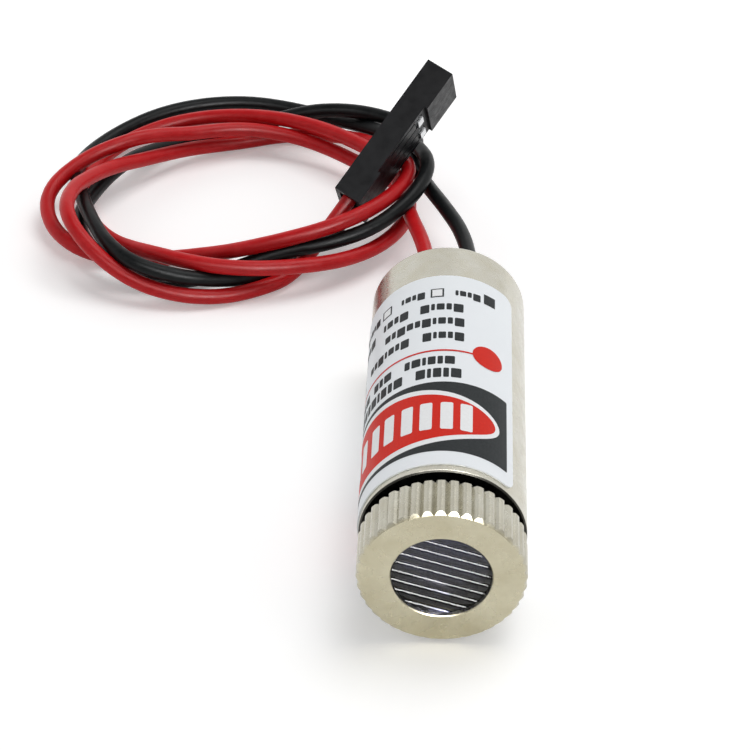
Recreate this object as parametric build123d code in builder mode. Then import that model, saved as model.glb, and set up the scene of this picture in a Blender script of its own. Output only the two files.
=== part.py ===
from build123d import *
import os
from math import ceil, cos, pi, radians, sin, tan

os.makedirs("parts", exist_ok=True)

# Driving dimensions of the module, in millimetres. The beam leaves along -Y.
barrel_radius = 6.0
barrel_wall = 1.0
barrel_rear_wall = 1.4
barrel_length = 27.5
barrel_front_y = -11.5
label_thickness = 0.1
axis_height = barrel_radius + label_thickness
front_bore_radius = barrel_radius - barrel_wall
front_bore_depth = 13.5
rear_bore_radius = barrel_radius - barrel_rear_wall
rear_seat_depth = 1.2
barrel_front_chamfer = 0.12
barrel_back_round = 0.35

# Focus cap: knurled head, as thick as the barrel, and threaded neck
cap_gap = 0.9
cap_head_length = 3.6
cap_crown_radius = barrel_radius
cap_shoulder_drop = 0.09
cap_groove_depth = 0.29
cap_rib_count = 40
cap_shoulder_share = 0.58
cap_first_groove_angle = 3.0
cap_front_chamfer = 0.25
cap_back_chamfer = 0.1
neck_clearance = 0.08
neck_wall = 0.87
neck_length = 5.9
lip_reach = 0.48
aperture_chamfer = 0.07
lip_thickness = 0.4
neck_radius = front_bore_radius - neck_clearance
lens_bore_radius = neck_radius - neck_wall
aperture_radius = lens_bore_radius - lip_reach

# Optics
lens_clearance = 0.05
lens_radius = lens_bore_radius - lens_clearance
line_lens_thickness = 1.58
flute_pitch = 0.82
flute_count = 2 * ceil(lens_radius / flute_pitch)
flute_rise = 0.16
flute_turn = 17.9
lens_end_clearance = 0.02
spacer_length = 1.6
spacer_wall = 0.7
collimator_rim = 0.8
collimator_crown = 0.9
collimator_edge = 0.8
ring_length = 1.2
ring_wall = 1.4
ring_slot_width = 0.8
ring_slot_depth = 0.6

# Focus spring
spring_wire_radius = 0.25
spring_bore_gap = 0.45
spring_turns = 5
spring_end_clearance = 0.05
spring_coil_radius = front_bore_radius - spring_bore_gap - spring_wire_radius

# Laser diode and its holder
holder_length = 3.0
holder_can_clearance = 0.17
holder_lip = 1.0
diode_base_radius = 2.8
diode_base_thickness = 1.2
can_radius = 1.78
can_height = 2.3
can_wall = 0.2
can_window_hole_radius = 0.7
can_flange_radius = 1.9
can_flange_thickness = 0.15
window_radius = 1.2
window_thickness = 0.25
chip_block_width = 1.0
chip_block_length = 1.2
chip_block_drop = 0.05
pin_radius = 0.225
pin_spread = 1.0
pin_length = 5.5
case_pin_length = 1.5

# Driver board and its parts
board_side_clearance = 0.35
board_length = 10.0
board_thickness = 1.0
board_front_gap = 1.6
board_drop = 0.25
board_corner = 0.4
chip_length = 2.9
chip_width = 1.6
chip_height = 1.1
chip_lift = 0.1
chip_leg_width = 0.4
chip_leg_length = 0.6
chip_leg_height = 0.3
chip_leg_pitch = 0.95
chip_edge_gap = 1.05
chip_offset_y = 0.6
small_part_width = 1.25
small_part_length = 2.0
resistor_height = 0.5
resistor_edge_gap = 0.725
resistor_offsets_y = (-1.0, 1.8)
capacitor_height = 0.9
capacitor_x = 0.6
capacitor_offset_y = 0.9
side_capacitor_edge_gap = 0.525
side_capacitor_offset_y = -3.2

# Label: the bare strip lies between the two angles, measured from the top towards +X
label_front_margin = 0.65
label_length = 22.7
label_edge_angle = 53.0
label_other_edge_angle = 123.0
label_corner = 0.9

# Leads
wire_radius = 0.65
lead_spread = 1.4
lead_inside_length = 4.8
plug_recess = 0.3
plug_thickness = 0.9

# Coil of the leads: the ring's outline is two ellipses, and its top rises where the leads cross
coil_outer_centre = (-19.0, 39.3)
coil_outer_radii = (17.6, 16.2)
coil_inner_centre = (-18.2, 39.2)
coil_inner_radii = (12.0, 8.8)
coil_height = 2.7
coil_crossing_height = 6.3
coil_rise_start_x = -12.5
coil_rise_end_x = -3.5
coil_fall_start_y = 42.5
coil_fall_end_y = 50.0
coil_bed_clearance = 0.12

# Connector: 2.54 mm pitch, two ways. Its place is the middle of the end that the wires enter.
connector_entry = (-8.64, 33.46, 4.06)
connector_axis = (0.546, 0.650, 0.528)
connector_width_axis = (0.078, 0.589, -0.805)
pitch = 2.54
housing_length = 14.0
housing_width = 2 * pitch
housing_thickness = 2.54
cavity_size = 1.7
socket_wall = 0.7
socket_hole = 0.8
socket_taper = 18
recess_from_socket_end = 3.8
recess_depth = 0.3
recess_length = 7.0
window_gap = 0.5
window_length = 1.0
window_width = 1.5
finger_slot = 0.18
finger_length = 3.6
terminal_box = 1.6
terminal_length = 7.2
terminal_bore = 0.72
terminal_end_gap = 0.05
crimp_radius = 0.8
crimp_length = 3.4
tang_length = 0.7
tang_rise = 0.35
tang_gap = 0.1
terminal_floor = 0.8
tang_width = 1.1
wire_stub = 1.6

barrel_back_y = barrel_front_y + barrel_length
cap_back_y = barrel_front_y - cap_gap
cap_front_y = cap_back_y - cap_head_length
neck_back_y = cap_back_y + neck_length
holder_back_y = barrel_front_y + front_bore_depth
holder_front_y = holder_back_y - holder_length
diode_front_y = holder_front_y + holder_lip
diode_back_y = diode_front_y + diode_base_thickness
board_front_y = holder_back_y + board_front_gap
board_half_width = rear_bore_radius - board_side_clearance
chip_x = chip_edge_gap + chip_width / 2 - board_half_width
resistor_x = board_half_width - resistor_edge_gap - small_part_width / 2
side_capacitor_x = side_capacitor_edge_gap + small_part_width / 2 - board_half_width
board_top_z = axis_height - board_drop
lead_z = board_top_z + wire_radius
module_axis = Axis((0, 0, axis_height), (0, 1, 0))


def station(y):
    """Plane square to the module's axis at y, seen from the front, that extrudes towards the front."""
    return Plane(origin=(0, y, axis_height), x_dir=(1, 0, 0), z_dir=(0, -1, 0))


def half_section(*outline):
    """Closed face from (y, radius) points, to be revolved about the module's axis."""
    with BuildSketch(Plane.YZ) as face:
        with BuildLine():
            Polyline(*[(y, axis_height + radius) for y, radius in outline], close=True)
        make_face()
    return face.sketch


def polar(radius, degrees):
    """Point of a sketch at a radius and an angle from its x axis."""
    return (radius * cos(radians(degrees)), radius * sin(radians(degrees)))


def route_radii(route):
    """Largest arc that the two runs beside each corner allow."""
    points = [Vector(*point) for point in route]
    radii = []
    for before, corner, after in zip(points, points[1:], points[2:]):
        half_turn = radians((corner - before).get_angle(after - corner)) / 2
        shorter = min((corner - before).length, (after - corner).length)
        radii.append(0.45 * shorter / tan(half_turn))
    return radii


def wire_tube(label, route):
    """Insulated wire swept along straight runs that are joined by tangent arcs."""
    radii = route_radii(route)
    with BuildPart() as tube:
        with BuildLine() as path:
            FilletPolyline(*route, radius=radii)
        with BuildSketch(Plane(origin=path.line @ 0, z_dir=path.line % 0)):
            Circle(wire_radius)
        sweep()
    tube.part.label = label
    length = path.wires()[0].length
    full_volume = pi * wire_radius**2 * length
    print(label, "length", round(length, 2), "arc radii", [round(radius, 1) for radius in radii])
    print(label, "volume against section times length", round(tube.part.volume / full_volume, 4))
    return tube


# Barrel: a tube with a step that the diode holder sits against and a seat for the rear plug
with BuildPart() as barrel:
    with BuildSketch(station(barrel_back_y)):
        Circle(barrel_radius)
    extrude(amount=barrel_length)
    fillet(barrel.faces().sort_by(Axis.Y)[-1].edges(), barrel_back_round)
    with BuildSketch(station(barrel_back_y)):
        Circle(rear_bore_radius)
    extrude(amount=barrel_length, mode=Mode.SUBTRACT)
    with BuildSketch(station(holder_back_y)):
        Circle(front_bore_radius)
    extrude(amount=front_bore_depth, mode=Mode.SUBTRACT)
    with BuildSketch(station(barrel_back_y)):
        Circle(front_bore_radius)
    extrude(amount=rear_seat_depth, mode=Mode.SUBTRACT)
    chamfer(barrel.faces().sort_by(Axis.Y)[0].edges(), barrel_front_chamfer)
barrel.part.label = "barrel"

# Label: a paper sleeve with its corners rounded, open along the bare strip
with BuildPart() as label:
    start = 90 - label_edge_angle
    wrap = 360 - (label_other_edge_angle - label_edge_angle)
    with BuildSketch(station(barrel_front_y + label_front_margin + label_length)):
        with BuildLine():
            outer = CenterArc((0, 0), barrel_radius + label_thickness, start, wrap)
            inner = CenterArc((0, 0), barrel_radius, start, wrap)
            Line(outer @ 0, inner @ 0)
            Line(outer @ 1, inner @ 1)
        make_face()
    extrude(amount=label_length)
    fillet(label.edges().filter_by(lambda edge: abs(edge.length - label_thickness) < 1e-3), label_corner)
label.part.label = "label"

# Focus cap: forty convex ribs with V grooves, a coned front edge, and the neck that carries the thread
with BuildPart() as focus_cap:
    rib_angle = 360 / cap_rib_count
    groove_radius = cap_crown_radius - cap_groove_depth
    shoulder_radius = cap_crown_radius - cap_shoulder_drop
    with BuildSketch(station(cap_back_y)):
        with BuildLine():
            for rib in range(cap_rib_count):
                groove = 90 - cap_first_groove_angle + rib * rib_angle
                crown = groove + rib_angle / 2
                shoulder = cap_shoulder_share * rib_angle / 2
                Line(polar(groove_radius, groove), polar(shoulder_radius, crown - shoulder))
                ThreePointArc(
                    polar(shoulder_radius, crown - shoulder),
                    polar(cap_crown_radius, crown),
                    polar(shoulder_radius, crown + shoulder),
                )
                Line(polar(shoulder_radius, crown + shoulder), polar(groove_radius, groove + rib_angle))
        make_face()
    extrude(amount=cap_head_length)
    revolve(
        half_section(
            (cap_front_y, 0),
            (cap_front_y, cap_crown_radius - cap_front_chamfer),
            (cap_front_y + cap_front_chamfer, cap_crown_radius),
            (cap_front_y + 2 * cap_front_chamfer, cap_crown_radius + cap_front_chamfer),
            (cap_back_y - 2 * cap_back_chamfer, cap_crown_radius + cap_back_chamfer),
            (cap_back_y, cap_crown_radius - cap_back_chamfer),
            (cap_back_y, 0),
        ),
        axis=module_axis,
        mode=Mode.INTERSECT,
    )
    with BuildSketch(station(neck_back_y)):
        Circle(neck_radius)
    extrude(amount=neck_length)
    revolve(
        half_section(
            (cap_front_y, 0),
            (cap_front_y, aperture_radius + aperture_chamfer),
            (cap_front_y + aperture_chamfer, aperture_radius),
            (cap_front_y + lip_thickness, aperture_radius),
            (cap_front_y + lip_thickness, lens_bore_radius),
            (neck_back_y, lens_bore_radius),
            (neck_back_y, 0),
        ),
        axis=module_axis,
        mode=Mode.SUBTRACT,
    )
focus_cap.part.label = "focus_cap"

# Line lens: a round block whose front is a row of rounded flutes, turned about the axis
line_lens_front_y = cap_front_y + lip_thickness + lens_end_clearance
line_lens_back_y = line_lens_front_y + line_lens_thickness
flute_axis = (cos(radians(flute_turn)), 0, -sin(radians(flute_turn)))
across_flutes = (sin(radians(flute_turn)), 0, cos(radians(flute_turn)))
with BuildPart() as line_lens:
    flute_plane = Plane(origin=(0, line_lens_back_y, axis_height), x_dir=across_flutes, z_dir=flute_axis)
    valley = line_lens_thickness - flute_rise
    half_row = flute_count * flute_pitch / 2
    with BuildSketch(flute_plane):
        with BuildLine():
            Polyline((-half_row, valley), (-half_row, 0), (half_row, 0), (half_row, valley))
            for flute in range(flute_count):
                left = -half_row + flute * flute_pitch
                ThreePointArc(
                    (left, valley),
                    (left + flute_pitch / 2, line_lens_thickness),
                    (left + flute_pitch, valley),
                )
        make_face()
    extrude(amount=2 * lens_radius, both=True)
    with BuildSketch(station(line_lens_back_y)):
        Circle(lens_radius)
    extrude(amount=2 * line_lens_thickness, mode=Mode.INTERSECT)
line_lens.part.label = "line_lens"

# Spacer between the two lenses
spacer_back_y = line_lens_back_y + spacer_length
with BuildPart() as lens_spacer:
    with BuildSketch(station(spacer_back_y)):
        Circle(lens_radius)
        Circle(lens_radius - spacer_wall, mode=Mode.SUBTRACT)
    extrude(amount=spacer_length)
lens_spacer.part.label = "lens_spacer"

# Collimating lens: flat towards the diode, with a rim that the spacer and the ring hold
collimator_back_y = spacer_back_y + collimator_rim
with BuildPart() as collimating_lens:
    with BuildSketch(Plane.YZ):
        with BuildLine():
            crown_start = (spacer_back_y, axis_height + lens_radius - collimator_edge)
            crown_top = (spacer_back_y - collimator_crown, axis_height)
            TangentArc(crown_top, crown_start, tangent=(0, 1))
            Polyline(
                crown_top,
                (collimator_back_y, axis_height),
                (collimator_back_y, axis_height + lens_radius),
                (spacer_back_y, axis_height + lens_radius),
                crown_start,
            )
        make_face()
    revolve(axis=module_axis)
collimating_lens.part.label = "collimating_lens"

# Ring that is screwed in behind the lenses, with two slots for its spanner
ring_back_y = collimator_back_y + ring_length
with BuildPart() as lens_retaining_ring:
    with BuildSketch(station(ring_back_y)):
        Circle(lens_radius)
        Circle(lens_radius - ring_wall, mode=Mode.SUBTRACT)
    extrude(amount=ring_length)
    with BuildSketch(station(ring_back_y)):
        Rectangle(2.2 * lens_radius, ring_slot_width)
    extrude(amount=ring_slot_depth, mode=Mode.SUBTRACT)
lens_retaining_ring.part.label = "lens_retaining_ring"

# Focus spring between the neck and the diode holder
spring_front_y = neck_back_y + spring_wire_radius + spring_end_clearance
spring_back_y = holder_front_y - spring_wire_radius - spring_end_clearance
spring_length = spring_back_y - spring_front_y
with BuildPart() as focus_spring:
    with BuildLine() as spring_line:
        Helix(
            pitch=spring_length / spring_turns,
            height=spring_length,
            radius=spring_coil_radius,
            center=(0, spring_front_y, axis_height),
            direction=(0, 1, 0),
        )
    with BuildSketch(Plane(origin=spring_line.line @ 0, z_dir=spring_line.line % 0)):
        Circle(spring_wire_radius)
    sweep(is_frenet=True)
focus_spring.part.label = "focus_spring"

# Diode holder: a ring against the barrel's step, with the seat of the diode's base
with BuildPart() as diode_holder:
    with BuildSketch(station(holder_back_y)):
        Circle(front_bore_radius)
        Circle(diode_base_radius, mode=Mode.SUBTRACT)
    extrude(amount=holder_length)
    with BuildSketch(station(diode_front_y)):
        Circle(diode_base_radius)
        Circle(can_radius + holder_can_clearance, mode=Mode.SUBTRACT)
    extrude(amount=holder_lip)
diode_holder.part.label = "diode_holder"

# Diode base with the two holes that the insulated pins pass through
with BuildPart() as diode_base:
    with BuildSketch(station(diode_back_y)):
        Circle(diode_base_radius)
        with Locations((-pin_spread, 0), (pin_spread, 0)):
            Circle(pin_radius, mode=Mode.SUBTRACT)
    extrude(amount=diode_base_thickness)
diode_base.part.label = "diode_base"

# Diode can, thin walled and open in front of its window
can_front_y = diode_front_y - can_height
with BuildPart() as diode_can:
    revolve(
        half_section(
            (diode_front_y, can_radius - can_wall),
            (diode_front_y, can_flange_radius),
            (diode_front_y - can_flange_thickness, can_flange_radius),
            (diode_front_y - can_flange_thickness, can_radius),
            (can_front_y, can_radius),
            (can_front_y, can_window_hole_radius),
            (can_front_y + can_wall, can_window_hole_radius),
            (can_front_y + can_wall, can_radius - can_wall),
        ),
        axis=module_axis,
    )
diode_can.part.label = "diode_can"

# Window glued inside the can
with BuildPart() as diode_window:
    with BuildSketch(station(can_front_y + can_wall + window_thickness)):
        Circle(window_radius)
    extrude(amount=window_thickness)
diode_window.part.label = "diode_window"

# Block that carries the laser chip in the middle of the can
with BuildPart() as diode_chip_block:
    with BuildSketch(station(diode_front_y)):
        with Locations((0, -chip_block_width / 2 - chip_block_drop)):
            Rectangle(chip_block_width, chip_block_width)
    extrude(amount=chip_block_length)
diode_chip_block.part.label = "diode_chip_block"

# Two live pins through the base, and the short pin of the case behind it
with BuildPart() as diode_pins:
    with BuildSketch(station(diode_back_y + pin_length)):
        with Locations((-pin_spread, 0), (pin_spread, 0)):
            Circle(pin_radius)
    extrude(amount=pin_length + diode_base_thickness)
    with BuildSketch(station(diode_back_y + case_pin_length)):
        with Locations((0, pin_spread)):
            Circle(pin_radius)
    extrude(amount=case_pin_length)
diode_pins.part.label = "diode_pins"

# Driver board along the axis, just under the pins
board_middle_y = board_front_y + board_length / 2
with BuildPart() as driver_board:
    with BuildSketch(Plane.XY.offset(board_top_z - board_thickness)):
        with Locations((0, board_middle_y)):
            Rectangle(2 * board_half_width, board_length)
    extrude(amount=board_thickness)
    fillet(driver_board.edges().filter_by(Axis.Z), board_corner)
driver_board.part.label = "driver_board"

# Regulator with three legs on each long side
with BuildPart() as driver_chip:
    chip_middle = (chip_x, board_middle_y + chip_offset_y)
    with BuildSketch(Plane.XY.offset(board_top_z + chip_lift)):
        with Locations(chip_middle):
            Rectangle(chip_width, chip_length)
    extrude(amount=chip_height)
    with BuildSketch(Plane.XY.offset(board_top_z)):
        with Locations(chip_middle):
            with GridLocations(chip_width + chip_leg_length, chip_leg_pitch, 2, 3):
                Rectangle(chip_leg_length + chip_lift, chip_leg_width)
    extrude(amount=chip_leg_height)
driver_chip.part.label = "driver_chip"

# Resistors and capacitors that are soldered to the board
with BuildPart() as chip_resistors:
    with BuildSketch(Plane.XY.offset(board_top_z)):
        with Locations(*[(resistor_x, board_middle_y + offset) for offset in resistor_offsets_y]):
            Rectangle(small_part_width, small_part_length)
    extrude(amount=resistor_height)
chip_resistors.part.label = "chip_resistors"

with BuildPart() as chip_capacitors:
    middle_capacitor = (capacitor_x, board_middle_y + capacitor_offset_y)
    side_capacitor = (side_capacitor_x, board_middle_y + side_capacitor_offset_y)
    with BuildSketch(Plane.XY.offset(board_top_z)):
        with Locations(middle_capacitor, side_capacitor):
            Rectangle(small_part_width, small_part_length)
    extrude(amount=capacitor_height)
chip_capacitors.part.label = "chip_capacitors"

# Rear plug with a hole for each lead
plug_back_y = barrel_back_y - plug_recess
with BuildPart() as rear_plug:
    with BuildSketch(station(plug_back_y)):
        Circle(front_bore_radius)
        with Locations((-lead_spread, lead_z - axis_height), (lead_spread, lead_z - axis_height)):
            Circle(wire_radius, mode=Mode.SUBTRACT)
    extrude(amount=plug_thickness)
rear_plug.part.label = "rear_plug"

# Leads: from the board through the plug, sinking towards the coil
red_lead = wire_tube(
    "red_lead",
    [
        (-lead_spread, barrel_back_y - lead_inside_length, lead_z),
        (-lead_spread, 17.0, lead_z),
        (-1.75, 22.8, 5.7),
        (-2.4, 28.1, 4.5),
        (-3.5, 33.0, 3.5),
    ],
)
black_lead = wire_tube(
    "black_lead",
    [
        (lead_spread, barrel_back_y - lead_inside_length, lead_z),
        (lead_spread, 17.0, lead_z),
        (1.75, 22.7, 5.9),
        (1.0, 28.0, 5.3),
        (-0.55, 32.8, 4.6),
        (-2.1, 37.0, 3.95),
    ],
)

# Connector housing: two square cavities, and a recess with a window over each terminal and its latch finger
entry = Vector(*connector_entry)
along = Vector(*connector_axis).normalized()
width = Vector(*connector_width_axis).normalized()
connector_plane = Plane(origin=entry, x_dir=width, z_dir=along)


def connector_section(distance):
    """Cross-section plane of the connector, at a distance from the end that the wires enter."""
    return connector_plane.offset(distance)


recess_end = housing_length - recess_from_socket_end
window_end = recess_end - window_gap
window_start = window_end - window_length
with BuildPart() as connector_housing:
    with BuildSketch(connector_section(0)):
        Rectangle(housing_width, housing_thickness)
    extrude(amount=housing_length)
    with BuildSketch(connector_section(0)):
        with GridLocations(pitch, 0, 2, 1):
            Rectangle(cavity_size, cavity_size)
    extrude(amount=housing_length - socket_wall, mode=Mode.SUBTRACT)
    with BuildSketch(connector_section(housing_length - socket_wall)):
        with GridLocations(pitch, 0, 2, 1):
            Rectangle(socket_hole, socket_hole)
    extrude(amount=socket_wall, taper=-socket_taper, mode=Mode.SUBTRACT)
    with BuildSketch(connector_section(recess_end - recess_length)):
        with Locations((0, -housing_thickness / 2)):
            Rectangle(housing_width, 2 * recess_depth)
    extrude(amount=recess_length, mode=Mode.SUBTRACT)
    with BuildSketch(connector_section(window_start)):
        with Locations((0, -housing_thickness / 2)):
            with GridLocations(pitch, 0, 2, 1):
                Rectangle(window_width, housing_thickness)
    extrude(amount=window_length, mode=Mode.SUBTRACT)
    with BuildSketch(connector_section(window_start - finger_length)):
        with Locations((0, -housing_thickness / 2)):
            with GridLocations(pitch, 0, 2, 1):
                with GridLocations(window_width - finger_slot, 0, 2, 1):
                    Rectangle(finger_slot, housing_thickness)
    extrude(amount=finger_length, mode=Mode.SUBTRACT)
connector_housing.part.label = "connector_housing"


def terminal(label, side):
    """Crimp terminal in one cavity: a box that takes the pin, with its tang, and the crimp behind it."""
    box_end = housing_length - socket_wall - terminal_end_gap
    box_start = box_end - terminal_length
    tang_end = window_end - tang_gap
    middle = side * pitch / 2
    with BuildPart() as piece:
        with BuildSketch(connector_section(box_start)):
            with Locations((middle, 0)):
                Rectangle(terminal_box, terminal_box)
        extrude(amount=terminal_length)
        with BuildSketch(connector_section(box_start - crimp_length)):
            with Locations((middle, 0)):
                Circle(crimp_radius)
        extrude(amount=crimp_length)
        with BuildSketch(connector_section(tang_end - tang_length)):
            with Locations((middle, -terminal_box / 2)):
                Rectangle(tang_width, 2 * tang_rise)
        extrude(amount=tang_length)
        with BuildSketch(connector_section(box_start + terminal_floor)):
            with Locations((middle, 0)):
                Rectangle(terminal_bore, terminal_bore)
        extrude(amount=terminal_length, mode=Mode.SUBTRACT)
    piece.part.label = label
    return piece


red_terminal = terminal("red_terminal", -1)
black_terminal = terminal("black_terminal", 1)

# Tails: from each crimp out of the housing and down into the coil
crimp_end = housing_length - socket_wall - terminal_end_gap - terminal_length - crimp_length


def tail_start(side):
    """The two points of a tail that lie on its cavity's middle line."""
    middle = entry + width * (side * pitch / 2)
    return [tuple(middle + along * crimp_end), tuple(middle - along * wire_stub)]


red_tail = wire_tube("red_tail", tail_start(-1) + [(-11.2, 30.7, 2.2)])
black_tail = wire_tube("black_tail", tail_start(1) + [(-11.4, 32.0, 1.1)])

# Coil: one closed ring round all the turns, higher where they cross at the right, with the connector's bed
with BuildPart() as wire_coil:
    with BuildSketch(Plane.XY):
        with Locations(coil_outer_centre):
            Ellipse(*coil_outer_radii)
        with Locations(coil_inner_centre):
            Ellipse(*coil_inner_radii, mode=Mode.SUBTRACT)
    extrude(amount=coil_crossing_height)
    with BuildSketch(Plane.XZ):
        with BuildLine():
            Polyline(
                (-60, 0),
                (-60, coil_height),
                (coil_rise_start_x, coil_height),
                (coil_rise_end_x, coil_crossing_height),
                (20, coil_crossing_height),
                (20, 0),
                close=True,
            )
        make_face()
    extrude(amount=-100, mode=Mode.INTERSECT)
    with BuildSketch(Plane.YZ):
        with BuildLine():
            Polyline(
                (0, 0),
                (0, coil_crossing_height),
                (coil_fall_start_y, coil_crossing_height),
                (coil_fall_end_y, coil_height),
                (80, coil_height),
                (80, 0),
                close=True,
            )
        make_face()
    extrude(amount=-100, mode=Mode.INTERSECT)
    with BuildSketch(connector_section(-coil_bed_clearance)):
        Rectangle(housing_width + 2 * coil_bed_clearance, housing_thickness + 2 * coil_bed_clearance)
    extrude(amount=housing_length + 2 * coil_bed_clearance, mode=Mode.SUBTRACT)
wire_coil.part.label = "wire_coil"

for piece in (
    barrel,
    label,
    focus_cap,
    line_lens,
    lens_spacer,
    collimating_lens,
    lens_retaining_ring,
    focus_spring,
    diode_holder,
    diode_base,
    diode_can,
    diode_window,
    diode_chip_block,
    diode_pins,
    driver_board,
    driver_chip,
    chip_resistors,
    chip_capacitors,
    rear_plug,
    red_lead,
    black_lead,
    wire_coil,
    red_tail,
    black_tail,
    connector_housing,
    red_terminal,
    black_terminal,
):
    export_step(piece.part, f"parts/{piece.part.label}.step")
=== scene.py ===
from math import cos, pi, radians, sin

import bmesh
import bpy
from mathutils import Matrix, Vector


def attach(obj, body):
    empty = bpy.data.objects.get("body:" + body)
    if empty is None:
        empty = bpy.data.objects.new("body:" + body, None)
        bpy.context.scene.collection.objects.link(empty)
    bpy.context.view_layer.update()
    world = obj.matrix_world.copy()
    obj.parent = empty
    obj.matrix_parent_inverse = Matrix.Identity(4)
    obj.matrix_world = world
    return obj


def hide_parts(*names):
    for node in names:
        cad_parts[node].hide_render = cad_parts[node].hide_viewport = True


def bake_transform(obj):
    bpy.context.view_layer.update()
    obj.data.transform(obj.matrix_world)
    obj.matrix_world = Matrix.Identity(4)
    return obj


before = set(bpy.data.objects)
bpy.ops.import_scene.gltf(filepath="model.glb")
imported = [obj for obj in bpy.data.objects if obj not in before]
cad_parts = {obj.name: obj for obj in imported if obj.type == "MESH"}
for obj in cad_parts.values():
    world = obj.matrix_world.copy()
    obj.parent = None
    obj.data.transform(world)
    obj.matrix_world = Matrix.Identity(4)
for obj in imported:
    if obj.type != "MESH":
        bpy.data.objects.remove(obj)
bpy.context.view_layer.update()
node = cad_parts

# Sizes of the CAD part that the scene repeats, in metres
AXIS_HEIGHT = 0.0061
LABEL_RADIUS = 0.0061
BORE_RADIUS = 0.005
NECK_RADIUS = 0.00492
BARREL_FRONT = -0.0115
CAP_BACK = -0.0124
CAP_FRONT = -0.016
NECK_BACK = -0.0065
THREAD_PITCH = 0.0005
WIRE_RADIUS = 0.00065


# Camera
camera = bpy.data.objects.new("camera", bpy.data.cameras.new("camera"))
camera.location = (0.000276, -0.144035, 0.122078)
camera.rotation_euler = (radians(52.503), 0, radians(2.191))
camera.data.sensor_width = 36
camera.data.lens = 119.0
camera.data.clip_start = 0.001
bpy.context.collection.objects.link(camera)
bpy.context.scene.camera = camera


# Materials: one helper makes the shader, the others add the patterns that feed it
def new_material(name, colour, roughness, metallic=0.0, **sockets):
    """Material with its numbers set on the shader's own sockets. Returns it and its shader."""
    material = bpy.data.materials.new(name)
    material.use_nodes = True
    shader = material.node_tree.nodes["Principled BSDF"]
    shader.inputs["Base Color"].default_value = (*colour, 1)
    shader.inputs["Roughness"].default_value = roughness
    shader.inputs["Metallic"].default_value = metallic
    for socket, value in sockets.items():
        shader.inputs[socket.replace("_", " ")].default_value = value
    return material, shader


def place(tree, stretch=(1, 1, 1), turn=(0, 0, 0)):
    """The object's own coordinates, stretched and turned."""
    coordinates = tree.nodes.new("ShaderNodeTexCoord")
    mapping = tree.nodes.new("ShaderNodeMapping")
    mapping.inputs["Scale"].default_value = stretch
    mapping.inputs["Rotation"].default_value = turn
    tree.links.new(coordinates.outputs["Object"], mapping.inputs["Vector"])
    return mapping.outputs["Vector"]


def noise(tree, scale, detail=3.0, rough=0.5, stretch=(1, 1, 1), turn=(0, 0, 0)):
    """Cloudy pattern from 0 to 1, with that many clouds a metre."""
    pattern = tree.nodes.new("ShaderNodeTexNoise")
    pattern.inputs["Scale"].default_value = scale
    pattern.inputs["Detail"].default_value = detail
    pattern.inputs["Roughness"].default_value = rough
    tree.links.new(place(tree, stretch, turn), pattern.inputs["Vector"])
    return pattern.outputs["Fac"]


def spread(tree, value, low, high, to_low=0.0, to_high=1.0):
    """Maps low to high of a pattern onto another range, and clamps it there."""
    step = tree.nodes.new("ShaderNodeMapRange")
    step.inputs["From Min"].default_value = low
    step.inputs["From Max"].default_value = high
    step.inputs["To Min"].default_value = to_low
    step.inputs["To Max"].default_value = to_high
    tree.links.new(value, step.inputs["Value"])
    return step.outputs["Result"]


def two_tone(tree, share, first, second):
    """Colour between two others, by a pattern from 0 to 1."""
    mix = tree.nodes.new("ShaderNodeMix")
    mix.data_type = "RGBA"
    mix.inputs["A"].default_value = (*first, 1)
    mix.inputs["B"].default_value = (*second, 1)
    tree.links.new(share, mix.inputs["Factor"])
    return mix.outputs["Result"]


def relief(tree, shader, height, depth, strength=1.0, under=None):
    """Bump of that depth in metres from a pattern, on top of another bump if one is given."""
    bump = tree.nodes.new("ShaderNodeBump")
    bump.inputs["Strength"].default_value = strength
    bump.inputs["Distance"].default_value = depth
    tree.links.new(height, bump.inputs["Height"])
    if under:
        tree.links.new(under, bump.inputs["Normal"])
    tree.links.new(bump.outputs["Normal"], shader.inputs["Normal"])
    return bump.outputs["Normal"]


def plated_nickel(name, cloudy, clear, zones=()):
    """Nickel plate with a warm bloom, turning marks and scratches. Zones give Y limits their own colour; the
    dark zones are painted shade.
    """
    material, shader = new_material(name, clear, 0.3, 1.0)
    tree = material.node_tree
    bloom = spread(tree, noise(tree, 420, 5, 0.6), 0.35, 0.7)
    colour = two_tone(tree, bloom, clear, cloudy)
    axes = tree.nodes.new("ShaderNodeSeparateXYZ")
    tree.links.new(place(tree), axes.inputs["Vector"])
    for start, end, zone_clear, zone_cloudy in zones:
        inside = spread(tree, axes.outputs["Y"], start, end)
        blend = tree.nodes.new("ShaderNodeMix")
        blend.data_type = "RGBA"
        tree.links.new(inside, blend.inputs["Factor"])
        tree.links.new(colour, blend.inputs["A"])
        tree.links.new(two_tone(tree, bloom, zone_clear, zone_cloudy), blend.inputs["B"])
        colour = blend.outputs["Result"]
    tree.links.new(colour, shader.inputs["Base Color"])
    haze = spread(tree, noise(tree, 900, 4, 0.6), 0.3, 0.75, 0.2, 0.34)
    tree.links.new(haze, shader.inputs["Roughness"])
    orange_peel = relief(tree, shader, noise(tree, 1500, 3), 0.000012, 0.6)
    marks = noise(tree, 1, 2, 0.6, stretch=(200, 9000, 200))
    turning = relief(tree, shader, marks, 0.000004, 0.5, orange_peel)
    streaks = noise(tree, 1, 1, 0.5, stretch=(400, 900, 14000), turn=(0.7, 0.2, 0.5))
    scratches = spread(tree, streaks, 0.66, 0.7)
    relief(tree, shader, scratches, -0.000004, 0.6, turning)
    return material


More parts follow.
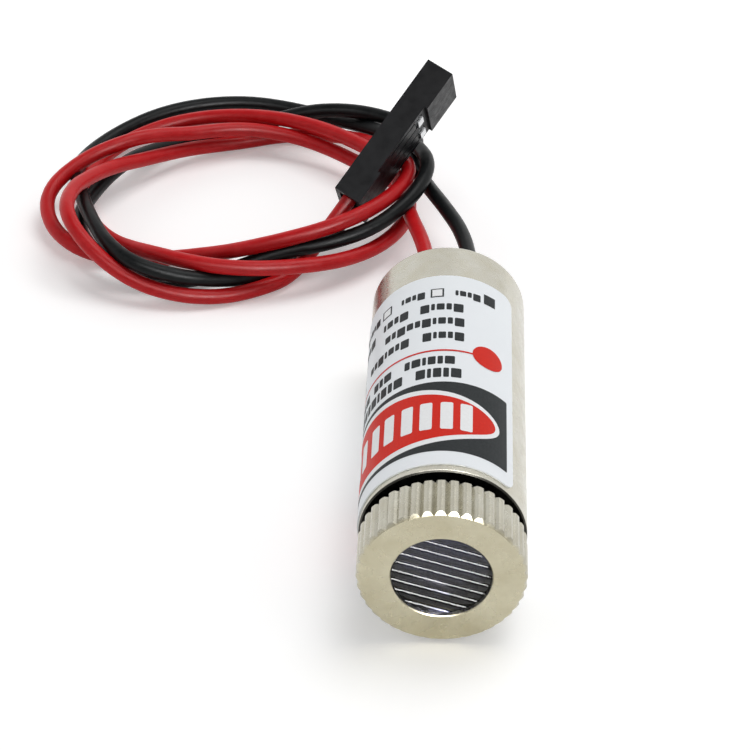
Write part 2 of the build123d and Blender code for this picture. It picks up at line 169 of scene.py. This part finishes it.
def label_paper():
    """Coated white paper, slightly uneven over the metal."""
    material, shader = new_material("label_paper", (0.8, 0.83, 0.86), 0.4, Specular_IOR_Level=0.2)
    tree = material.node_tree
    tree.links.new(
        two_tone(tree, noise(tree, 300, 3), (0.78, 0.81, 0.84), (0.83, 0.86, 0.885)),
        shader.inputs["Base Color"],
    )
    sag = relief(tree, shader, noise(tree, 260, 2), 0.00003, 0.5)
    relief(tree, shader, noise(tree, 9000, 2), 0.000004, 0.3, sag)
    return material


def label_ink(name, colour, darker):
    """Printed ink that lets a little of the paper through."""
    material, shader = new_material(name, colour, 0.42, Specular_IOR_Level=0.12)
    tree = material.node_tree
    cover = spread(tree, noise(tree, 5000, 3, 0.7), 0.3, 0.75)
    tree.links.new(two_tone(tree, cover, colour, darker), shader.inputs["Base Color"])
    sag = relief(tree, shader, noise(tree, 260, 2), 0.00003, 0.5)
    relief(tree, shader, noise(tree, 9000, 2), 0.000004, 0.3, sag)
    return material


def wire_insulation(name, colour, worn, gleam):
    """Soft glossy insulation, with rubbed patches and the faint waves that winding leaves."""
    material, shader = new_material(name, colour, 0.36, Specular_IOR_Level=gleam)
    tree = material.node_tree
    rubbed = spread(tree, noise(tree, 700, 4, 0.65), 0.45, 0.8)
    tree.links.new(two_tone(tree, rubbed, colour, worn), shader.inputs["Base Color"])
    tree.links.new(spread(tree, noise(tree, 1400, 4, 0.6), 0.3, 0.7, 0.28, 0.46), shader.inputs["Roughness"])
    waves = relief(tree, shader, noise(tree, 900, 2), 0.00005, 0.5)
    relief(tree, shader, noise(tree, 6000, 3), 0.000008, 0.4, waves)
    return material


def moulded_plastic(name, colour, lighter, roughness):
    """Moulded plastic with a fine spark-eroded grain."""
    material, shader = new_material(name, colour, roughness, Specular_IOR_Level=0.17)
    tree = material.node_tree
    tree.links.new(
        two_tone(tree, spread(tree, noise(tree, 800, 4), 0.35, 0.8), colour, lighter),
        shader.inputs["Base Color"],
    )
    tree.links.new(
        spread(tree, noise(tree, 1500, 3), 0.3, 0.7, roughness - 0.08, roughness + 0.1),
        shader.inputs["Roughness"],
    )
    relief(tree, shader, noise(tree, 12000, 3, 0.7), 0.000012, 0.6)
    return material


def plain_metal(name, colour, darker, roughness):
    """Turned or stamped metal with a little tarnish."""
    material, shader = new_material(name, colour, roughness, 1.0)
    tree = material.node_tree
    tarnish = spread(tree, noise(tree, 900, 4, 0.6), 0.35, 0.75)
    tree.links.new(two_tone(tree, tarnish, colour, darker), shader.inputs["Base Color"])
    tree.links.new(
        spread(tree, noise(tree, 2000, 3), 0.3, 0.7, roughness - 0.06, roughness + 0.1),
        shader.inputs["Roughness"],
    )
    relief(tree, shader, noise(tree, 1, 2, 0.6, stretch=(300, 8000, 300)), 0.000004, 0.4)
    return material


def optical_plastic(name, colour):
    """Clear moulded lens."""
    material, shader = new_material(
        name, colour, 0.13, Transmission_Weight=1.0, IOR=1.49, Specular_IOR_Level=0.15
    )
    tree = material.node_tree
    relief(tree, shader, noise(tree, 1200, 2), 0.000003, 0.1)
    return material


def board_lacquer():
    """Green solder mask over a ground plane, with lighter tracks."""
    material, shader = new_material("board_lacquer", (0.02, 0.16, 0.06), 0.3)
    tree = material.node_tree
    tracks = spread(tree, noise(tree, 1, 1, 0.3, stretch=(900, 260, 100)), 0.48, 0.52)
    lacquer = two_tone(tree, tracks, (0.012, 0.11, 0.04), (0.03, 0.2, 0.07))
    tree.links.new(lacquer, shader.inputs["Base Color"])
    relief(tree, shader, tracks, 0.00003, 0.6)
    return material


nickel = plated_nickel(
    "plated_nickel",
    (0.52, 0.495, 0.405),
    (0.58, 0.565, 0.5),
    # The zone paints the barrel's front face, inside the gap under the cap, near black: painted shade of that
    # gap.
    zones=((BARREL_FRONT + 0.00013, BARREL_FRONT + 0.00009, (0.06, 0.058, 0.05), (0.03, 0.028, 0.024)),),
)
cap_nickel = plated_nickel(
    "cap_nickel",
    (0.46, 0.435, 0.35),
    (0.53, 0.515, 0.44),
    zones=(
        (CAP_FRONT + 0.00025, CAP_FRONT + 0.00005, (0.55, 0.515, 0.385), (0.47, 0.43, 0.305)),
        # This zone paints the cap's back face and the neck behind it near black: painted shade of the gap
        # between cap and barrel.
        (CAP_BACK - 0.00003, CAP_BACK - 0.00001, (0.012, 0.011, 0.01), (0.02, 0.018, 0.016)),
    ),
)
paper = label_paper()
charcoal_ink = label_ink("charcoal_ink", (0.018, 0.022, 0.024), (0.03, 0.034, 0.036))
red_ink = label_ink("red_ink", (0.66, 0.018, 0.006), (0.58, 0.014, 0.005))
white_ink = label_ink("white_ink", (0.84, 0.85, 0.86), (0.78, 0.79, 0.8))
red_insulation = wire_insulation("red_insulation", (0.5, 0.003, 0.006), (0.58, 0.012, 0.015), 0.22)
black_insulation = wire_insulation("black_insulation", (0.0035, 0.0045, 0.005), (0.009, 0.0105, 0.011), 0.15)
housing_plastic = moulded_plastic("housing_plastic", (0.003, 0.003, 0.004), (0.008, 0.0085, 0.01), 0.42)
dark_epoxy = moulded_plastic("dark_epoxy", (0.01, 0.01, 0.011), (0.025, 0.025, 0.027), 0.5)
black_anodised = plain_metal("black_anodised", (0.012, 0.012, 0.015), (0.007, 0.007, 0.009), 0.45)
brass = plain_metal("brass", (0.78, 0.57, 0.27), (0.6, 0.42, 0.18), 0.3)
gold_plate = plain_metal("gold_plate", (0.9, 0.66, 0.28), (0.74, 0.5, 0.2), 0.25)
spring_steel = plain_metal("spring_steel", (0.5, 0.5, 0.5), (0.34, 0.34, 0.35), 0.28)
tin_plate = plain_metal("tin_plate", (0.72, 0.73, 0.74), (0.55, 0.56, 0.58), 0.26)
# The lens plastic is clear; its blue-grey colour darkens what is seen through it: painted shade of the
# barrel's dark inside, with a blue cast for the coated lens behind.
lens_plastic_shaded = optical_plastic("lens_plastic_shaded", (0.33, 0.34, 0.5))
window_glass = optical_plastic("window_glass", (0.95, 0.97, 1.0))
resistor_body = moulded_plastic("resistor_body", (0.015, 0.015, 0.017), (0.06, 0.06, 0.06), 0.4)
capacitor_body = moulded_plastic("capacitor_body", (0.42, 0.3, 0.19), (0.5, 0.38, 0.25), 0.45)
board_green = board_lacquer()

finishes = {
    "barrel": nickel,
    "label": paper,
    "focus_cap": cap_nickel,
    "line_lens": lens_plastic_shaded,
    "lens_spacer": black_anodised,
    "collimating_lens": lens_plastic_shaded,
    "lens_retaining_ring": black_anodised,
    "focus_spring": spring_steel,
    "diode_holder": brass,
    "diode_base": gold_plate,
    "diode_can": gold_plate,
    "diode_window": window_glass,
    "diode_chip_block": gold_plate,
    "diode_pins": gold_plate,
    "driver_board": board_green,
    "driver_chip": dark_epoxy,
    "chip_resistors": resistor_body,
    "chip_capacitors": capacitor_body,
    "rear_plug": dark_epoxy,
    "connector_housing": housing_plastic,
    "red_terminal": tin_plate,
    "black_terminal": tin_plate,
}
for name, finish in finishes.items():
    node[name].data.materials.clear()
    node[name].data.materials.append(finish)


# Wires: the leads and tails are the route points of the CAD part, and a loop works out the turns between them
RED_LEAD = (
    (-0.0014, 0.0112, 0.0065),
    (-0.0014, 0.0170, 0.0065),
    (-0.00175, 0.0228, 0.0057),
    (-0.0024, 0.0281, 0.0045),
    (-0.0035, 0.0330, 0.0035),
)
RED_TAIL = ((-0.0112, 0.0307, 0.0022), (-0.00961, 0.03167, 0.00424), (-0.00732, 0.0344, 0.00645))
BLACK_LEAD = (
    (0.0014, 0.0112, 0.0065),
    (0.0014, 0.0170, 0.0065),
    (0.00175, 0.0227, 0.0059),
    (0.0010, 0.0280, 0.0053),
    (-0.00055, 0.0328, 0.0046),
    (-0.0021, 0.0370, 0.00395),
    (-0.0034, 0.0407, 0.0036),
)
BLACK_TAIL = ((-0.0114, 0.0320, 0.0011), (-0.00941, 0.03317, 0.0022), (-0.00712, 0.0359, 0.0044))

# Distance from the coil's centre and height in mm, listed every 30 degrees from +X anticlockwise
COIL_CENTRE = (-0.019, 0.0375)
LYING = WIRE_RADIUS * 1000
RED_TURNS = (
    ((15.6, 3.6), (12.5, 3.7), (11.6, 3.4), (12.3, 2.8), (14.4, 1.6), (15.0, LYING)),
    ((13.2, LYING), (11.8, 1.3), (11.7, 2.9), (12.2, 3.1), (13.0, 2.7), (14.7, 2.0)),
    ((15.5, 2.1), (12.3, 1.8), (11.0, 2.1), (10.3, 2.6), (9.8, 3.1), (11.2, 4.2)),
    ((16.5, 2.3), (14.7, 1.0), (8.6, LYING), (8.4, 2.0), (10.3, 3.8), (13.4, 5.1)),
    ((15.4, 5.0), (14.5, 3.0), (14.4, 0.8), (11.2, LYING), (9.9, 1.4), (10.1, 2.4)),
    ((12.3, 4.0), (15.7, 5.2), (15.0, 2.0), (13.2, 0.7), (11.3, LYING)),
)
BLACK_TURNS = (
    ((19.0, 2.5), (18.3, 3.6), (14.3, 3.6), (12.3, 1.3), (12.2, LYING), (11.3, 2.1)),
    ((12.6, 1.8), (14.4, 2.4), (13.3, 1.0), (9.6, 0.8), (10.0, 2.4), (14.4, 3.9)),
    ((17.1, 5.7), (15.5, 3.9), (16.0, 1.6), (16.4, 1.7), (16.4, 1.6), (16.5, LYING)),
    ((13.5, 2.9), (13.3, 3.8), (14.6, 3.5), (12.0, 1.6), (9.9, LYING)),
)
TABLE_STEP = 30
POINT_STEP = 15
RED_FIRST_ANGLE = 8
BLACK_FIRST_ANGLE = 22
LAST_ANGLE = 305
OUTWARDS = 1.006


def between(a, b, c, d, share):
    """Smooth value between b and c, with a before them and d after them."""
    line = 2 * b + (c - a) * share
    curve = (2 * a - 5 * b + 4 * c - d) * share**2 + (3 * b - a - 3 * c + d) * share**3
    return (line + curve) / 2


def coil_turns(halves, first):
    """Points of the turns, from the first angle to the last one of the last turn."""
    stations = [station for half in halves for station in half]
    last = 360 * ((len(stations) - 1) // 12) + LAST_ANGLE
    points = []
    for step in range(last // POINT_STEP + 1):
        angle = step * POINT_STEP
        if angle < first:
            continue
        index, rest = divmod(angle / TABLE_STEP, 1)
        around = [stations[min(max(int(index) + k, 0), len(stations) - 1)] for k in (-1, 0, 1, 2)]
        radius = between(*[station[0] for station in around], rest) * OUTWARDS / 1000
        height = max(WIRE_RADIUS, between(*[station[1] for station in around], rest) / 1000)
        points.append((
            COIL_CENTRE[0] + radius * cos(radians(angle)),
            COIL_CENTRE[1] + radius * sin(radians(angle)),
            height,
        ))
    return points


def wire(name, route, finish):
    """One wire on a smooth spline with the route's points as its control points."""
    curve = bpy.data.curves.new(name, "CURVE")
    curve.dimensions = "3D"
    curve.resolution_u = 6
    curve.bevel_depth = WIRE_RADIUS
    curve.bevel_resolution = 5
    curve.use_fill_caps = True
    spline = curve.splines.new("NURBS")
    spline.points.add(len(route) - 1)
    for point, place_at in zip(spline.points, route):
        point.co = (*place_at, 1)
    spline.order_u = 3
    spline.use_endpoint_u = True
    curve.materials.append(finish)
    piece = bpy.data.objects.new(name, curve)
    bpy.context.collection.objects.link(piece)
    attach(piece, "barrel")
    return piece


red_wire = wire("red_wire", [*RED_LEAD, *coil_turns(RED_TURNS, RED_FIRST_ANGLE), *RED_TAIL], red_insulation)
black_wire = wire(
    "black_wire", [*BLACK_LEAD, *coil_turns(BLACK_TURNS, BLACK_FIRST_ANGLE), *BLACK_TAIL], black_insulation
)
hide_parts("red_lead", "wire_coil", "red_tail")
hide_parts("black_lead", "wire_coil", "black_tail")


# Mesh pieces
def piece_from(bm, name, finish, body):
    """Object from a finished bmesh, riding on a body."""
    mesh = bpy.data.meshes.new(name)
    bm.to_mesh(mesh)
    bm.free()
    mesh.materials.append(finish)
    piece = bpy.data.objects.new(name, mesh)
    bpy.context.collection.objects.link(piece)
    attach(piece, body)
    return piece


# Label print: laid out flat, x in degrees from the top towards +X and y in mm, then bent round the barrel
INK_LAYER = 0.000006
DEGREE = radians(1) * LABEL_RADIUS
STRIP = 3


def flat_box(bm, left, right, front, back, corner=0.0):
    """Rectangle of the print, with round corners of that radius in mm."""
    earlier = set(bm.verts)
    made = bmesh.ops.create_grid(bm, x_segments=1, y_segments=1, size=0.5)
    bmesh.ops.scale(bm, vec=((right - left) * DEGREE * 1000, back - front, 1), verts=made["verts"])
    if corner:
        bmesh.ops.bevel(
            bm,
            geom=made["verts"],
            offset=corner,
            segments=6,
            profile=0.5,
            affect="VERTICES",
            material=-1,
        )
    verts = [v for v in bm.verts if v not in earlier]
    bmesh.ops.translate(bm, vec=((left + right) / 2 * DEGREE * 1000, (front + back) / 2, 0), verts=verts)


def bent_print(name, bm, layer, finish):
    """Cuts the flat print into narrow strips, bends it round the label and makes it a thin skin."""
    for edge in range(-180, 60, STRIP):
        geometry = [*bm.verts, *bm.edges, *bm.faces]
        bmesh.ops.bisect_plane(
            bm, geom=geometry, plane_co=(edge * DEGREE * 1000, 0, 0), plane_no=(1, 0, 0), dist=1e-6
        )
    radius = LABEL_RADIUS + layer * INK_LAYER
    for v in bm.verts:
        angle = v.co.x / 1000 / LABEL_RADIUS
        v.co = (radius * sin(angle), v.co.y / 1000, AXIS_HEIGHT + radius * cos(angle))
    bmesh.ops.recalc_face_normals(bm, faces=bm.faces)
    for face in bm.faces:
        outwards = face.calc_center_median() - Vector((0, face.calc_center_median().y, AXIS_HEIGHT))
        if face.normal.dot(outwards) < 0:
            face.normal_flip()
    return piece_from(bm, name, finish, "barrel")


def flat_round(bm, centre, middle, across, along, sides=96):
    """Oval of the print, with its half sizes in degrees and mm."""
    made = bmesh.ops.create_circle(bm, cap_ends=True, segments=sides, radius=1)
    bmesh.ops.scale(bm, vec=(across * DEGREE * 1000, along, 1), verts=made["verts"])
    bmesh.ops.translate(bm, vec=(centre * DEGREE * 1000, middle, 0), verts=made["verts"])


# Places on the print: left and right edges in degrees, then front and back edges in mm
DARK_FIELD = (-170.5, 46.5, -9.45, -1.5)
FULL_SQUARE = (26.3, 35.7, 9.1, 10.35)
EMPTY_SQUARES = ((-12.8, -3.2, 9.05, 10.15), (-54.4, -44.8, 9.05, 10.15))
SQUARE_LINE = (1.2, 0.13)
DISC = (30, 2.4, 12, 1.28)
RULE = (-150, 19, 2.2, 2.38)

# The oval's middle, then half its sizes: the red field and the white edge under it
OVAL_MIDDLE = (-62, -5.5)
OVAL = (98, 2.98)
OVAL_EDGE = (101.5, 3.55)

# Pairs of white bars on the oval
BAR_PAIRS = (-3.4, -31, -59, -88, -115.5, -143.5)
BAR_WIDTH = 8.5
BAR_SPACING = 13.5
BAR_ENDS = (-7.0, -3.95)

# Rows of plain blocks: front and back edge in mm, spacing in degrees, then each run's right edge and count
ROWS = (
    (9.05, 9.95, 5.9, (23.7, 4), (-17.0, 4), (-58.0, 5)),
    (7.15, 8.2, 7.3, (11.0, 5), (-29.5, 4), (-64.0, 6)),
    (5.35, 6.4, 7.1, (11.8, 10), (-86.0, 5)),
    (3.55, 4.6, 6.9, (11.8, 5), (-28.0, 7), (-83.0, 4)),
    (0.65, 1.6, 7.2, (5.6, 6), (-42.0, 3), (-68.0, 6)),
    (-0.95, 0.15, 7.5, (10.3, 5), (-32.0, 9), (-104.0, 3)),
)
BLOCK_WIDTHS = (1.15, 0.7, 0.95, 0.55, 1.1, 0.75, 0.9)
BLOCK_GAP = 0.18
LOW_BLOCK_DROP = 0.24
LOW_BLOCKS_BEHIND = 1


def block_row(bm, front, back, spacing, runs):
    """Runs of plain blocks of changing width. Behind the rule's rows the narrow ones are lower."""
    for edge, count in runs:
        for block in range(count):
            width = BLOCK_WIDTHS[block % len(BLOCK_WIDTHS)] * spacing
            drop = LOW_BLOCK_DROP if width < spacing and front > LOW_BLOCKS_BEHIND else 0
            flat_box(bm, edge - width + BLOCK_GAP * spacing, edge, front + drop, back, 0.1)
            edge -= width


charcoal = bmesh.new()
flat_box(charcoal, *DARK_FIELD, 0.12)
flat_box(charcoal, *FULL_SQUARE)
for front, back, spacing, *runs in ROWS:
    block_row(charcoal, front, back, spacing, runs)
for square in EMPTY_SQUARES:
    flat_box(charcoal, *square)
bent_print("charcoal_print", charcoal, 1, charcoal_ink)

# White: the openings of the two empty squares and the oval under the red field
white = bmesh.new()
for left, right, front, back in EMPTY_SQUARES:
    across, along = SQUARE_LINE
    flat_box(white, left + across, right - across, front + along, back - along)
flat_round(white, *OVAL_MIDDLE, *OVAL_EDGE)
bent_print("white_print", white, 2, white_ink)

# Red: the oval field, the disc and the rule that runs to it
red_field = bmesh.new()
flat_round(red_field, *OVAL_MIDDLE, *OVAL)
flat_round(red_field, *DISC)
flat_box(red_field, *RULE)
bent_print("red_print", red_field, 3, red_ink)

bars = bmesh.new()
for left in BAR_PAIRS:
    for start in (left, left + BAR_SPACING):
        flat_box(bars, start, start + BAR_WIDTH, *BAR_ENDS, 0.15)
bent_print("white_bars", bars, 4, white_ink)


# Thread of the cap's neck, a ridge that winds round the CAD neck
THREAD_STEPS = 48


def thread(name, root, crest, front, back, body):
    """Helical ridge with its foot at the root radius."""
    bm = bmesh.new()
    half = THREAD_PITCH / 2
    profile = [
        bm.verts.new((0, front, AXIS_HEIGHT + root)),
        bm.verts.new((0, front + half, AXIS_HEIGHT + crest)),
        bm.verts.new((0, front + 2 * half, AXIS_HEIGHT + root)),
    ]
    edges = [bm.edges.new(pair) for pair in zip(profile, profile[1:])]
    turns = int((back - front) / THREAD_PITCH) - 1
    bmesh.ops.spin(
        bm,
        geom=[*profile, *edges],
        cent=(0, 0, AXIS_HEIGHT),
        axis=(0, 1, 0),
        dvec=(0, THREAD_PITCH / THREAD_STEPS, 0),
        angle=2 * pi * turns,
        steps=THREAD_STEPS * turns,
    )
    bmesh.ops.remove_doubles(bm, verts=bm.verts, dist=1e-8)
    bmesh.ops.recalc_face_normals(bm, faces=bm.faces)
    for face in bm.faces:
        face.smooth = True
    return piece_from(bm, name, cap_nickel, body)


# The thread lies wholly behind the cap's back, so the cap's painted shade makes it near black too.
thread("neck_thread", NECK_RADIUS - 0.00002, BORE_RADIUS - 0.00001, CAP_BACK + 0.0001, NECK_BACK, "cap")


# Focus spring: a coil that takes the place of the CAD part's spring
SPRING_FRONT = -0.0062
SPRING_BACK = -0.0013
SPRING_RADIUS = 0.0043
SPRING_WIRE_RADIUS = 0.00025
SPRING_TURNS = 5
SPRING_STEPS = 32


def closing_spring():
    """Round wire wound between the neck's end and the diode holder."""
    bm = bmesh.new()
    ring = bmesh.ops.create_circle(bm, segments=12, radius=SPRING_WIRE_RADIUS)["verts"]
    bmesh.ops.rotate(bm, cent=(0, 0, 0), matrix=Matrix.Rotation(pi / 2, 3, "Y"), verts=ring)
    bmesh.ops.translate(bm, vec=(0, SPRING_FRONT, AXIS_HEIGHT + SPRING_RADIUS), verts=ring)
    steps = SPRING_STEPS * SPRING_TURNS
    bmesh.ops.spin(
        bm,
        geom=[*bm.verts, *bm.edges],
        cent=(0, 0, AXIS_HEIGHT),
        axis=(0, 1, 0),
        dvec=(0, (SPRING_BACK - SPRING_FRONT) / steps, 0),
        angle=2 * pi * SPRING_TURNS,
        steps=steps,
    )
    bmesh.ops.holes_fill(bm, edges=[edge for edge in bm.edges if edge.is_boundary])
    bmesh.ops.recalc_face_normals(bm, faces=bm.faces)
    for face in bm.faces:
        face.smooth = len(face.verts) == 4
    mesh = bpy.data.meshes.new("closing_spring")
    bm.to_mesh(mesh)
    bm.free()
    mesh.materials.append(spring_steel)
    piece = bpy.data.objects.new("closing_spring", mesh)
    bpy.context.collection.objects.link(piece)
    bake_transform(piece)
    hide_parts("focus_spring")
    return piece


closing_spring()


# Floor, world and lamps
FLOOR_LIFT = 0.24


def paper_floor():
    """White sweep that the camera, metal and glass see as white, with the object's shadow on it."""
    material, shader = new_material("white_floor", (0.93, 0.93, 0.93), 0.9)
    tree = material.node_tree
    shader.inputs["Specular IOR Level"].default_value = 0.0
    rays = tree.nodes.new("ShaderNodeLightPath")
    seen = tree.nodes.new("ShaderNodeMath")
    seen.operation = "MAXIMUM"
    tree.links.new(rays.outputs["Is Camera Ray"], seen.inputs[0])
    tree.links.new(rays.outputs["Is Glossy Ray"], seen.inputs[1])
    all_seen = tree.nodes.new("ShaderNodeMath")
    all_seen.operation = "MAXIMUM"
    tree.links.new(seen.outputs[0], all_seen.inputs[0])
    tree.links.new(rays.outputs["Is Transmission Ray"], all_seen.inputs[1])
    lift = tree.nodes.new("ShaderNodeMath")
    lift.operation = "MULTIPLY"
    lift.inputs[1].default_value = FLOOR_LIFT
    tree.links.new(all_seen.outputs[0], lift.inputs[0])
    shader.inputs["Emission Color"].default_value = (1, 1, 1, 1)
    tree.links.new(lift.outputs[0], shader.inputs["Emission Strength"])
    return material


floor_shape = bmesh.new()
bmesh.ops.create_grid(floor_shape, x_segments=1, y_segments=1, size=2.0)
floor_mesh = bpy.data.meshes.new("floor")
floor_shape.to_mesh(floor_mesh)
floor_shape.free()
floor_mesh.materials.append(paper_floor())
floor = bpy.data.objects.new("floor", floor_mesh)
bpy.context.collection.objects.link(floor)

world = bpy.data.worlds.new("studio")
bpy.context.scene.world = world
world.use_nodes = True
sky = world.node_tree
sky_view = sky.nodes.new("ShaderNodeTexCoord")
sky_axes = sky.nodes.new("ShaderNodeSeparateXYZ")
sky.links.new(sky_view.outputs["Generated"], sky_axes.inputs["Vector"])
white_walls = spread(sky, sky_axes.outputs["Y"], -0.6, -0.1, 0.45, 1.0)
dark_ceiling = spread(sky, sky_axes.outputs["Z"], 0.62, 0.8, 1.0, 0.25)
tent = sky.nodes.new("ShaderNodeMath")
tent.operation = "MULTIPLY"
sky.links.new(white_walls, tent.inputs[0])
sky.links.new(dark_ceiling, tent.inputs[1])
sky_rays = sky.nodes.new("ShaderNodeLightPath")
backdrop = sky.nodes.new("ShaderNodeMath")
backdrop.operation = "MAXIMUM"
sky.links.new(tent.outputs[0], backdrop.inputs[0])
sky.links.new(sky_rays.outputs["Is Camera Ray"], backdrop.inputs[1])
sky.nodes["Background"].inputs["Color"].default_value = (1, 1, 1, 1)
sky.links.new(backdrop.outputs[0], sky.nodes["Background"].inputs["Strength"])


def softbox(name, centre, aim, size, power, only_gleams=False):
    """Lamp that faces a point, or a card that shows in gleams alone."""
    lamp = bpy.data.lights.new(name, "AREA")
    lamp.shape = "RECTANGLE"
    lamp.size = size[0]
    lamp.size_y = size[1]
    lamp.energy = power
    piece = bpy.data.objects.new(name, lamp)
    piece.location = centre
    piece.rotation_euler = (Vector(aim) - Vector(centre)).to_track_quat("-Z", "Y").to_euler()
    piece.visible_diffuse = not only_gleams
    bpy.context.collection.objects.link(piece)


softbox("back_light", (0.12, 0.13, 0.45), (0, 0, 0), (0.3, 0.3), 1.1)
softbox("key_light", (0.11, -0.306, 0.218), (0, 0, 0.006), (0.2, 0.16), 1.6, only_gleams=True)
softbox("front_light", (-0.025, -0.275, 0.352), (0, 0, 0.006), (0.36, 0.2), 1.2, only_gleams=True)

bpy.context.scene.view_settings.view_transform = "Standard"
